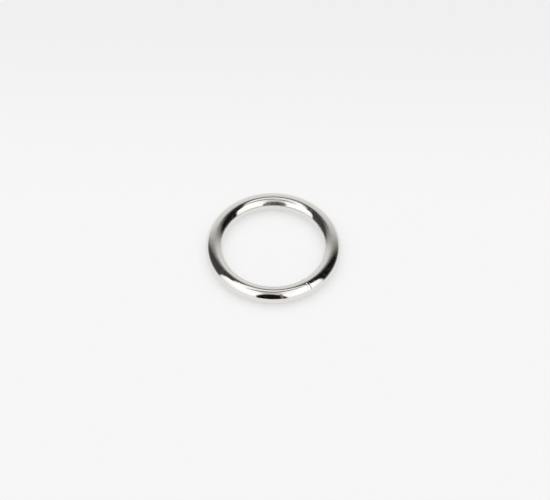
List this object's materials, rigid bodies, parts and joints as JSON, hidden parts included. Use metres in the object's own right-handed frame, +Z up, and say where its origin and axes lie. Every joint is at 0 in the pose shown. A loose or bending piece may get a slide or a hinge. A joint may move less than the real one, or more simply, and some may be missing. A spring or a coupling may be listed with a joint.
{
  "type": "metal o-ring",
  "caption": "Closed ring of round plated steel wire, butt-welded, that straps, cords, hooks and snaps pass through or close round, to link or anchor them.",
  "frame": {"origin": "on the surface that the ring lies on, under the centre of its eye", "axes": "+Z up, along the ring's own axis; +X to the right and +Y away from the viewpoint of the picture, which puts the weld at the front right, 55.4 degrees round from +X"},
  "size_m": [0.027, 0.027, 0.0035],
  "materials": {
    "nickel_plate": "bright nickel plating over steel wire, with faint drawing marks along the wire"
  },
  "bodies": {
    "root": {"o_ring": "nickel_plate"}
  },
  "joints": []
}
